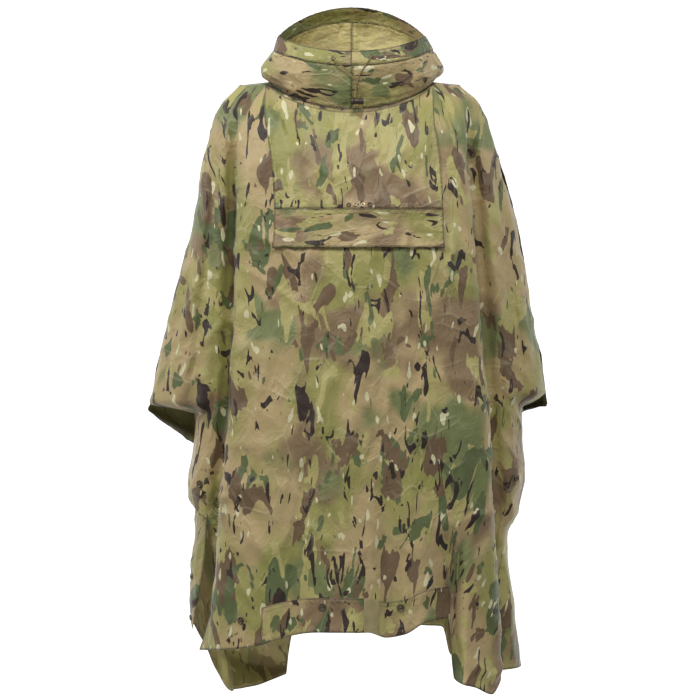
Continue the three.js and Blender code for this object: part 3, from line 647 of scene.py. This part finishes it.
TAN = linear("ad986c")
OLIVE = linear("908c4e")
PALE_OLIVE = linear("a69d62")
GREEN = linear("72794a")
DARK_GREEN = linear("59633b")
BROWN = linear("826c4e")
DARK_BROWN = linear("6a553c")
DARK = linear("2e2119")
CREAM = linear("c9c39c")
# the inside's pale yellow: partly the plainer inner face's own colour, partly painted light shining
# through the thin cloth
INNER_FACE_AND_GLOW = linear("c9b976")
THREAD = linear("3d3628")
BRAID, BRAID_SHADE = linear("a08a5c"), linear("6d5a3a")
TAPE, TAPE_PALE, TAPE_SHADE = linear("9a8f62"), linear("ab9c70"), linear("837853")
CAMOUFLAGE = [
    # tone, size, shift, low, high, detail, twist
    (OLIVE, (5.5, 3.6), (3, 1, 0), 0.47, 0.6, 2, 0),
    (BROWN, (7, 5), (9, 4, 0), 0.53, 0.63, 2, 0),
    (GREEN, (6.5, 5), (2, 8, 0), 0.56, 0.63, 2, 0),
    (PALE_OLIVE, (18, 8), (1, 7, 2), 0.575, 0.583, 3, 0.5),
    (DARK_GREEN, (19, 8.5), (5, 2, 6), 0.595, 0.603, 3, 0.6),
    (DARK_BROWN, (22, 9), (2, 9, 3), 0.6, 0.608, 3, 0.5),
    (CREAM, (58, 22), (4, 8, 8), 0.68, 0.69, 1, 0.2),
    (DARK, (45, 15), (7, 3, 5), 0.62, 0.627, 2, 1.0),
]
PACKING_CREASES = [
    # size, shift, width
    ((8, 6, 1), (1, 3, 0), 0.028),
    ((15, 11, 1), (4, 4, 0), 0.045),
]
STITCH_LINE, STITCH_PITCH = 2.5, 3
HEM_WIDTH = 9
PUCKER_START, PUCKER_END = 4, 34
THREAD_PITCH = 0.9


def camouflage(tree, cloth):
    """Soft tan, olive and brown ground under hard-edged blotches, dark shapes and pale flecks."""
    colour = TAN
    for tone, size, shift, low, high, detail, twist in CAMOUFLAGE:
        patches = tree.noise(tree.scaled(cloth, (*size, 1), shift), detail=detail, distortion=twist)
        colour = tree.blend(tree.step(patches, low, high), colour, tone)
    return colour


def packing_creases(tree, cloth):
    """Straight creases between irregular facets, here and there on the cloth."""
    creases = 0.0
    for size, shift, width in PACKING_CREASES:
        facets = tree.add("TexVoronoi", {"Vector": tree.scaled(cloth, size, shift), "Scale": 1.0},
                          feature="DISTANCE_TO_EDGE")
        places = tree.noise(tree.scaled(cloth, (9, 8, 1), shift), detail=1.0)
        line = tree.times(tree.drop(facets, 0.0, width), tree.step(places, 0.5, 0.62))
        creases = tree.maths("ADD", creases, line)
    return creases


def cloth_material(name, inner_and_glow=0.0):
    """Thin coated nylon: print, plain weave, creases, and a stitched hem with its puckers.

    The inner amount is how far a pale yellow covers the print, from 0 to 1: partly the plainer inner
    face's own colour and partly painted light shining through the thin cloth.
    """
    tree = Nodes(name)
    cloth = tree.add("UVMap", {}, uv_map="cloth")
    edge = tree.add("Attribute", {}, output=2, attribute_name="edge")
    along, up, _ = tree.split(cloth)
    off_line = tree.maths("ABSOLUTE", tree.maths("SUBTRACT", edge, STITCH_LINE * MM))
    seam = tree.drop(off_line, 0.35 * MM, 1.0 * MM)
    thread = tree.times(seam, tree.step(tree.wave(tree.maths("ADD", along, up), STITCH_PITCH), -0.7, 0.0))
    creases = packing_creases(tree, cloth)
    crumple = tree.noise(tree.scaled(cloth, (24, 15, 1)), detail=5.0, roughness=0.6, distortion=0.5)
    puckers = tree.noise(tree.scaled(cloth, (95, 80, 1)), detail=2.0)
    puckers = tree.times(puckers, tree.drop(edge, PUCKER_START * MM, PUCKER_END * MM))
    grain = tree.noise(tree.scaled(cloth, (900, 900, 1)), detail=1.0)
    weave = tree.maths("ADD", tree.wave(along, THREAD_PITCH), tree.wave(up, THREAD_PITCH))
    colour = camouflage(tree, cloth)
    # inner faces are blended towards the pale yellow: partly their own colour, partly painted light
    # shining through the cloth
    if inner_and_glow:
        colour = tree.blend(inner_and_glow, colour, INNER_FACE_AND_GLOW)
    # pale tint along the packing creases: a painted highlight on their ridges
    colour = tree.blend(tree.times(creases, 0.12), colour, CREAM)
    # a dark rim within about 2 mm of every cut edge: painted shadow, as a folded edge would cast
    edge_shadow = tree.drop(edge, 0.8 * MM, 2.2 * MM)
    colour = tree.blend(tree.times(edge_shadow, 0.5), colour, DARK)
    colour = tree.blend(tree.times(thread, 0.8), colour, THREAD)
    normal = tree.bump(crumple, 9 * MM, 0.85)
    normal = tree.bump(puckers, 4 * MM, 0.8, normal)
    normal = tree.bump(creases, 1.0 * MM, 0.7, normal)
    hem = tree.step(edge, (HEM_WIDTH + 1) * MM, HEM_WIDTH * MM)
    normal = tree.bump(hem, 0.35 * MM, 1.0, normal)
    normal = tree.bump(seam, -0.6 * MM, 1.0, normal)
    normal = tree.bump(tree.maths("ADD", weave, grain), 0.02 * MM, 0.6, normal)
    return tree.finish(base=colour, roughness=tree.maths("MULTIPLY_ADD", grain, 0.16, 0.42),
                       normal=normal, sheen=0.2, sheen_roughness=0.4, specular=0.45)


def plain_material(name, colour, roughness, metallic=0.0):
    """A moulded or painted surface with fine grain and a little wear in its colour."""
    tree = Nodes(name)
    place = tree.add("TexCoord", {}, output=3)
    grain = tree.noise(tree.scaled(place, (400, 400, 400)), detail=3.0)
    wear = tree.noise(tree.scaled(place, (100, 100, 100)), detail=2.0)
    dark = linear(colour)
    light = [min(1, c * 1.7 + 0.01) for c in dark[:3]] + [1]
    base = tree.blend(tree.step(wear, 0.4, 0.7), dark, light)
    return tree.finish(base=base, metallic=metallic,
                       roughness=tree.maths("MULTIPLY_ADD", grain, 0.2, roughness - 0.1),
                       normal=tree.bump(grain, 0.05 * MM, 0.6))


def cord_material():
    """Braid: two sets of strands that cross on a slant."""
    tree = Nodes("cord")
    across, _, up = tree.split(tree.add("TexCoord", {}, output=3))
    waves = [tree.wave(tree.maths("MULTIPLY_ADD", across, slant, up), 2.2) for slant in (1, -1)]
    strands = tree.times(*waves)
    # darker between the strands: painted shade in the braid's grooves
    base = tree.blend(tree.step(strands, -0.5, 0.6), BRAID_SHADE, BRAID)
    return tree.finish(base=base, roughness=0.85, normal=tree.bump(strands, 0.2 * MM, 0.8))


def webbing_material():
    """Woven tape with ribs across it."""
    tree = Nodes("webbing")
    cloth = tree.add("UVMap", {}, uv_map="cloth")
    along, up, _ = tree.split(cloth)
    weave = tree.maths("MULTIPLY_ADD", tree.wave(along, 1.4), 0.6, tree.wave(up, 1.6))
    mottle = tree.noise(tree.scaled(cloth, (60, 40, 1)), detail=3.0)
    base = tree.blend(tree.step(mottle, 0.35, 0.65), TAPE, TAPE_PALE)
    # darker between the ribs: painted shade in the weave's grooves
    base = tree.blend(tree.step(weave, -1.2, 0.4), TAPE_SHADE, base)
    return tree.finish(base=base, roughness=0.8, normal=tree.bump(weave, 0.15 * MM, 0.9), sheen=0.2)


CLOTH = cloth_material("camouflage_cloth")
# the inner faces carry painted light shining through the cloth, and the hood's inside carries the most
INSIDE = cloth_material("cloth_inside", inner_and_glow=0.3)
HOOD_INSIDE_GLOW = cloth_material("hood_inside", inner_and_glow=0.62)
METAL = plain_material("dark_bronze", "5a5040", 0.42, metallic=0.7)
PALE_METAL = plain_material("worn_bronze", "a89878", 0.38, metallic=0.6)
PLASTIC = plain_material("dark_plastic", "33261c", 0.4)
CORD = cord_material()
WEBBING = webbing_material()


# Body
CLOTH_WALL = 0.6
PANEL_ROWS, PANEL_COLUMNS = 200, 230
PRINT_SHIFTS = {  # where on the print each piece is cut
    "front_panel": (0, 0), "back_panel": (3100, 700), "chest_panel": (1500, 300),
    "pocket_flap": (5200, 900), "hem_band": (7300, 100), "hem_tab": (0, 0),
    "hood_right": (600, 0), "hood_left": (600, 700 * math.pi), "hood_casing": (4100, 0),
}
FLAP_LIFT, BELLY_DEPTH, BELLY_ROUNDNESS, BELLY_WAVE = 0.8, 3.2, 1.6, 1.2
SURFACES = {}  # the outer points and normals of each piece that trim may sit on


def edge_distance(u, v):
    """Distance from each point of a grid to the grid's edges, along the cloth."""
    return np.minimum.reduce([u - u[:, :1], u[:, -1:] - u, v - v[:1], v[-1:] - v])


def make_panel(name, panel):
    angle, level = panel.grid(PANEL_ROWS, PANEL_COLUMNS)
    points, normals = panel.cloth(angle, level)
    inner = points - normals * CLOTH_WALL
    joined = level < SLEEVE_END
    for side in (points, inner):
        apart = panel.side * np.maximum(panel.side * side[..., 1], SEAM / 2)
        side[..., 1] = np.where(joined, apart, side[..., 1])
    u, v = arc_lengths(points, 1, PANEL_COLUMNS // 2), arc_lengths(points, 0)
    print_place = np.stack([panel.unroll(angle, level), panel.point(angle, level)[..., 2]], -1)
    print_place = print_place + PRINT_SHIFTS[name]
    piece = shell(name, points, inner, print_place, edge_distance(u, v), [CLOTH, INSIDE])
    keep(piece, name)
    SURFACES[name] = points, normals


def make_patch(name, left, right, top, bottom, lift, wall, steps, slot="cloth", turn=0.0):
    """A piece that lies on the front between two lines and two levels, lifted off it."""
    level = np.linspace(top, bottom, steps[0])[:, None] * np.ones(steps[1])
    x = mix(left(level[:, :1]), right(level[:, :1]), np.linspace(0, 1, steps[1]))
    angle = FRONT.angle_at(x, level)
    inner, _ = FRONT.cloth(angle, level, lift(x, level))
    outer, normals = FRONT.cloth(angle, level, lift(x, level) + wall)
    u, v = arc_lengths(outer, 1, steps[1] // 2), arc_lengths(outer, 0)
    height = FRONT.point(angle, level)[..., 2]
    print_place = np.stack([x * math.cos(turn) + height * math.sin(turn),
                            height * math.cos(turn) - x * math.sin(turn)], -1)
    materials = [WEBBING] if slot == "webbing" else [CLOTH, INSIDE]
    piece = shell(name, outer, inner, print_place + PRINT_SHIFTS[name], edge_distance(u, v), materials)
    keep(piece, name)
    SURFACES[name] = outer, normals


def chest_seam(side):
    """The seam that runs down one side of the chest, as a function of the level."""
    return lambda level: FRONT_SEAMS(side, level)


def upright(x):
    return lambda level: level * 0 + x


def even(lift):
    return lambda x, level: lift


def flap_lift(x, level):
    """The flap's free lower edge stands away from the pocket."""
    down = (level - FLAP["top"]) / (FLAP["bottom"] - FLAP["top"])
    wave = BELLY_WAVE * down * noise(x / 40, level / 60, 77)
    return FLAP_LIFT + (BELLY_DEPTH * down ** BELLY_ROUNDNESS + wave)


make_panel("front_panel", FRONT)
make_panel("back_panel", BACK)
make_patch("chest_panel", chest_seam("left"), chest_seam("right"), CHEST["top"], CHEST["bottom"] - SEAM,
           lift=even(0.4), wall=0.8, steps=(70, 110))
make_patch("pocket_flap", chest_seam("left"), chest_seam("right"), FLAP["top"], FLAP["bottom"],
           lift=flap_lift, wall=1.2, steps=(34, 120), turn=math.pi / 2)
make_patch("hem_band", upright(HEM_BAND["left"]), chest_seam("right"), HEM_BAND["top"],
           HEM_BAND["bottom"], lift=even(0.3), wall=0.6, steps=(30, 130))
make_patch("hem_tab", upright(HEM_TAB["left"]), upright(HEM_TAB["right"]), HEM_TAB["top"],
           HEM_TAB["bottom"], lift=even(1.1), wall=1.0, steps=(28, 14), slot="webbing")


# Hood
HOOD_ROWS, HOOD_COLUMNS = 56, 170
CASING_ROWS, CASING_COLUMNS = 22, 320
CASING_LAP, CASING_GAP = 0.02, 0.003  # in rise: the halves reach in, and the casing starts above
GATHER_HEIGHT, PUCKER_HEIGHT, SLACK_HEIGHT, SLACK_FOLD = 2.6, 1.8, 3.0, 2.6
PUFF, PUFF_OUT, PUFF_IN, CASING_PINCH = 2.2, 0.6, 0.5, 0.8
HOOD_PRINT_REACH, CASING_PRINT_REACH = 165, 150


def hood_point(turn, rise):
    """The turn goes round from the centre front, over the right side."""
    facing, across = np.cos(turn), np.sin(turn)
    reach = np.where(across < 0, HOOD_RINGS("left", rise), HOOD_RINGS("right", rise))
    middle = np.where(facing > 0, HOOD_RINGS("z_front", rise), HOOD_RINGS("z_back", rise))
    gather = GATHER_DEPTH * np.sin(GATHER_COUNT * turn) * 4 * rise * (1 - rise)
    y = np.where(facing > 0, -(HOOD_RINGS("front", rise) + gather), HOOD_RINGS("back", rise) + gather)
    z = mix(HOOD_RINGS("z_side", rise), middle, np.abs(facing) ** NECK_SWEEP)
    return np.stack([across * (reach + gather), y * np.abs(facing), z], -1)


def from_centre_front(turn):
    """0 at the centre front seam, where the two ends of the round meet, and 1 away from it."""
    return smooth(np.abs(np.sin(turn / 2)) / 0.08)


def hood_relief(turn, rise):
    """Gathers under the casing, puckers over the neck seam and slack folds round the bag."""
    under = np.clip((CASING_START - rise) / CASING_START, 0, 1)
    gathers = GATHER_HEIGHT * ridges(turn * 7.3, rise * 1.1, 11) * bell(under / 0.34)
    puckers = PUCKER_HEIGHT * ridges(turn * 9.1, rise * 1.6, 12) * bell((1 - under) / 0.22)
    slack = SLACK_HEIGHT * noise(turn * 1.5, rise * 3.4, 13)
    slack += SLACK_FOLD * (ridges(turn * 1.9, rise * 3.1, 14) - RIDGE_MEAN)
    ends = smooth(under / 0.08) * smooth((1 - under) / 0.06) * from_centre_front(turn)
    return (gathers + puckers) * ends + slack * ends * bell((under - 0.45) / 0.4)


def make_hood():
    rises = np.linspace(0, CASING_START + CASING_LAP, HOOD_ROWS)[:, None]
    for name, start in (("hood_right", 0.0), ("hood_left", math.pi)):
        turns = np.linspace(start, start + math.pi, HOOD_COLUMNS)[None, :]
        turn, rise = np.broadcast_arrays(turns, rises)
        points = hood_point(turn, rise)
        print_place = np.stack([arc_lengths(points, 0), (turn - start) * HOOD_PRINT_REACH], -1)
        points = points + grid_normals(points) * hood_relief(turn, rise)[..., None]
        normals = grid_normals(points)
        points[:, [0, -1], 0] = 0
        inner = points - normals * CLOTH_WALL
        edge = edge_distance(arc_lengths(points, 1), arc_lengths(points, 0))
        piece = shell(name, points, inner, print_place + PRINT_SHIFTS[name], edge, [CLOTH, HOOD_INSIDE_GLOW])
        keep(piece, name)


def make_casing():
    """The drawcord tunnel round the face opening: two plies, a little puffed between its seams."""
    rises = np.linspace(CASING_START + CASING_GAP, 1, CASING_ROWS)[:, None]
    turns = np.linspace(0, 2 * math.pi, CASING_COLUMNS, endpoint=False)[None, :]
    turn, rise = np.broadcast_arrays(turns, rises)
    t = (rise - CASING_START) / (1 - CASING_START)
    points = hood_point(turn, rise)
    normals = grid_normals(points, ring=True)
    puff = PUFF * np.sin(math.pi * np.clip(t, 0, 1)) ** 0.8
    wrinkle = 1.1 * (ridges(turn * 9.5, t * 0.8, 21) - RIDGE_MEAN)
    wrinkle += 0.7 * (ridges(turn * 17, t * 1.2, 22) - RIDGE_MEAN)
    wrinkle *= from_centre_front(turn)
    outer = points + normals * (CASING_PROUD + PUFF_OUT * puff + wrinkle)[..., None]
    depth = CASING_WALL - CASING_PROUD - CASING_PINCH + PUFF_IN * puff - wrinkle
    inner = points - normals * depth[..., None]
    v = arc_lengths(outer, 0)
    print_place = np.stack([v, turn * CASING_PRINT_REACH], -1)
    edge = np.minimum(v, v[-1:] - v)
    piece = shell("hood_casing", outer, inner, print_place + PRINT_SHIFTS["hood_casing"], edge,
                  [CLOTH, CLOTH], ring=True)
    keep(piece, "hood_casing")


make_hood()
make_casing()


# Trim
def cap_profile(radius, height):
    """A press stud's cap: a rolled rim round a dished middle with a small crown."""
    return [(0, 0), (radius * 0.96, 0), (radius, height * 0.15), (radius, height * 0.45),
            (radius * 0.96, height * 0.66), (radius * 0.88, height * 0.78), (radius * 0.76, height * 0.8),
            (radius * 0.64, height * 0.74), (radius * 0.55, height * 0.55), (radius * 0.45, height * 0.46),
            (radius * 0.34, height * 0.5), (radius * 0.28, height * 0.86), (radius * 0.2, height),
            (0, height)]


def ring_profile(outer, inner, height):
    """An eyelet's rolled ring."""
    return [(inner, 0), (outer, 0), (outer, height * 0.35), (mix(inner, outer, 0.85), height * 0.8),
            (mix(inner, outer, 0.55), height), (mix(inner, outer, 0.2), height * 0.85),
            (inner, height * 0.5), (inner, 0)]


def place_on(node, cloth):
    """Where a node of the part sits on the creased cloth, and the cloth's normal there."""
    low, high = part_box(node)
    centre = np.array((low + high) / 2) / MM
    points, normals = SURFACES[cloth]
    nearest = np.linalg.norm(points - centre, axis=-1).argmin()
    point, normal = points.reshape(-1, 3)[nearest], normals.reshape(-1, 3)[nearest]
    return centre - normal * ((centre - point) @ normal), normal


SNAPS = {
    "snap_side_left": "front_panel", "snap_side_right": "front_panel",
    "snap_hem_1": "front_panel", "snap_hem_2": "hem_band",
    "snap_hem_3": "hem_band", "snap_hem_4": "front_panel",
}
STUDS = ("snap_edge_1", "snap_edge_2", "snap_edge_3")
CHEST_METALS = (METAL, PALE_METAL, PALE_METAL, METAL)  # the middle two are worn


def make_studs_and_eyelets():
    cap = cap_profile(SNAP_RADIUS, SNAP_HEIGHT)
    for node, cloth in SNAPS.items():
        keep(turned(node, cap, *place_on(node, cloth), METAL), node)
    cap = cap_profile(STUD_RADIUS, STUD_HEIGHT)
    for node in STUDS:
        keep(turned(node, cap, *place_on(node, "back_panel"), METAL), node)
    ring = ring_profile(**CHEST_EYELET)
    for number, metal in enumerate(CHEST_METALS, 1):
        node = f"chest_eyelet_{number}"
        keep(turned(node, ring, *place_on(node, "chest_panel"), metal), node)


make_studs_and_eyelets()


# Drawcord
NEAR = 0.02  # in turn and in rise, to find the casing's normal
CORD_STEPS = 5
KNOT_STEPS, KNOT_HEART, TAIL_FROM, TAIL_STEPS = 72, 0.36, 0.45, 12


def eyelet_place(x, rise):
    reach = HOOD_RINGS("left" if x < 0 else "right", rise)
    around = np.linspace(-NEAR, NEAR, 3)
    turns, rises = np.broadcast_arrays(math.asin(x / reach) + around[None, :], rise + around[:, None])
    points = hood_point(turns, rises)
    normal = grid_normals(points)[1, 1]
    return points[1, 1] + normal * (CASING_PROUD + 0.4), normal


def cord_route(start, normal, points):
    """A smooth route from the eyelet through the points, as closely spaced points."""
    route = np.array([*(start + normal * reach for reach in CORD_REACHES), *points])
    ends = np.concatenate([[2 * route[0] - route[1]], route, [2 * route[-1] - route[-2]]])
    made = []
    for before, a, b, after in zip(ends, ends[1:], ends[2:], ends[3:]):
        for t in np.linspace(0, 1, CORD_STEPS, endpoint=False):
            made.append(0.5 * (2 * a + (b - before) * t + (2 * before - 5 * a + 4 * b - after) * t ** 2
                               + (3 * a - before - 3 * b + after) * t ** 3))
    return np.array(made + [route[-1]]) * MM


def make_cord(name, points, thickness=CORD_DIAMETER):
    curve = bpy.data.curves.new(name, "CURVE")
    curve.dimensions = "3D"
    curve.bevel_depth = thickness / 2 * MM
    curve.bevel_resolution = 6
    curve.use_fill_caps = True
    spline = curve.splines.new("POLY")
    spline.points.add(len(points) - 1)
    spline.points.foreach_set("co", np.c_[points, np.ones(len(points))].ravel())
    spline.use_smooth = True
    return link(name, curve, CORD)


def lock_profile(width, radius):
    """A barrel with a groove round each shoulder."""
    half = [(radius * 0.55, 0), (radius * 0.8, width * 0.01), (radius * 0.95, width * 0.04),
            (radius, width * 0.09), (radius, width * 0.2), (radius * 0.93, width * 0.23),
            (radius * 0.88, width * 0.26), (radius * 0.88, width * 0.42)]
    return [(0, 0), *half, *[(out, width - run) for out, run in reversed(half)], (0, width)]


def make_lock():
    start = (LOCK["x"] - LOCK["width"] / 2, LOCK["y"], LOCK["z"])
    profile = lock_profile(LOCK["width"], LOCK["radius"])
    lock = turned("cord_lock", profile, start, (1, 0, 0), PLASTIC)
    keep(lock, "cord_lock")
    return lock


def make_knot():
    """A knot of three loops, and a short tail below it."""
    turns = np.linspace(0, 2 * math.pi, KNOT_STEPS, endpoint=False)
    loops = np.stack([np.sin(turns) + 2 * np.sin(2 * turns), -np.sin(3 * turns) * 1.1,
                      np.cos(turns) - 2 * np.cos(2 * turns)], -1) * KNOT_SIZE
    start, end = np.array(KNOT_FROM), np.array(KNOT_TO)
    tail = [mix(start, end, t) for t in np.linspace(TAIL_FROM, 1, TAIL_STEPS)]
    points = np.concatenate([[start], loops + mix(start, end, KNOT_HEART), tail])
    knot = make_cord("cord_knot", points * MM, KNOT_THICKNESS)
    keep(knot, "cord_knot")
    return knot


def make_drawcord():
    lock, knot = make_lock(), make_knot()
    ring = ring_profile(**HOOD_EYELET)
    for side, route in (("left", CORD_LEFT), ("right", CORD_RIGHT)):
        place, normal = eyelet_place(*HOOD_EYELETS[side])
        eyelet, node = f"hood_eyelet_{side}", f"cord_{side}"
        keep(turned(eyelet, ring, place, normal, METAL), eyelet)
        points = cord_route(place, normal, route)
        cord = make_cord(node, points)
        keep(cord, node)


make_drawcord()


# Floor, light and camera, in metres
BACKDROP = {"half_width": 30, "behind": 8, "low": -40, "high": 12}
FLOOR_RADIUS, FLOOR_LEVEL, FLOOR_SIDES = 0.42, -1.30, 64
BODY_MIDDLE, HOOD_TOP = (0, 0, -0.55), (0, 0, 0.2)
LAMPS = [
    # name, place, size, power, aim
    ("key", (-3.3, -2.0, 1.9), 0.9, 100, BODY_MIDDLE),
    ("fill", (3.5, -1.8, 1.5), 0.9, 37, BODY_MIDDLE),
    ("top", (0.1, -1.9, 2.3), 0.6, 56, HOOD_TOP),
    ("low", (0, -3.2, -1.9), 1.2, 9, BODY_MIDDLE),
]
WORLD_STRENGTH = 0.2
WHITE = (1, 1, 1, 1)
CAMERA_PLACE = (-0.004, -4.5, -0.53)
FRAME_WIDTH = 1.4  # across the picture, at the shoulder line
SENSOR = 36.0


def plain(name, tone, glow=0.0):
    """A matt material for the floor, or for the backdrop, which glows."""
    material = bpy.data.materials.new(name)
    material.use_nodes = True
    inputs = material.node_tree.nodes["Principled BSDF"].inputs
    inputs["Base Color"].default_value = (tone, tone, tone, 1)
    inputs["Roughness"].default_value = 0.9
    if glow:
        inputs["Emission Color"].default_value = WHITE
        inputs["Emission Strength"].default_value = glow
    return material


def add_light(name, place, size, power, aim):
    light = bpy.data.lights.new(name, "AREA")
    light.shape, light.size, light.energy = "DISK", size, power
    lamp = bpy.data.objects.new(name, light)
    bpy.context.scene.collection.objects.link(lamp)
    lamp.location = place
    lamp.rotation_euler = (Vector(aim) - Vector(place)).to_track_quat("-Z", "Y").to_euler()


def flat_piece(name, points, material):
    mesh = bpy.data.meshes.new(name)
    mesh.from_pydata(points, [], [list(range(len(points)))])
    return link(name, mesh, material)


def make_studio():
    """A glowing white sheet behind, a small floor and soft lamps in front."""
    wide, behind, low, high = BACKDROP.values()
    corners = [(-wide, behind, low), (wide, behind, low), (wide, behind, high), (-wide, behind, high)]
    turns = np.linspace(0, 2 * math.pi, FLOOR_SIDES, endpoint=False)
    ring = [(FLOOR_RADIUS * math.cos(turn), FLOOR_RADIUS * math.sin(turn), FLOOR_LEVEL) for turn in turns]
    flat_piece("backdrop", corners, plain("backdrop", 1, glow=1.0))
    flat_piece("floor", ring, plain("floor", 0.9))
    for lamp in LAMPS:
        add_light(*lamp)
    world = bpy.data.worlds.new("studio")
    world.use_nodes = True
    world.node_tree.nodes["Background"].inputs[0].default_value = WHITE
    world.node_tree.nodes["Background"].inputs[1].default_value = WORLD_STRENGTH
    scene = bpy.context.scene
    scene.world = world
    scene.view_settings.view_transform = "Standard"
    scene.view_settings.look = "None"


def make_camera():
    """Level, and square to the poncho's front."""
    camera = bpy.data.cameras.new("camera")
    camera.sensor_width = SENSOR
    camera.lens = SENSOR * -CAMERA_PLACE[1] / FRAME_WIDTH
    holder = bpy.data.objects.new("camera", camera)
    bpy.context.scene.collection.objects.link(holder)
    holder.location = CAMERA_PLACE
    holder.rotation_euler = (math.pi / 2, 0, 0)
    bpy.context.scene.camera = holder


make_studio()
make_camera()
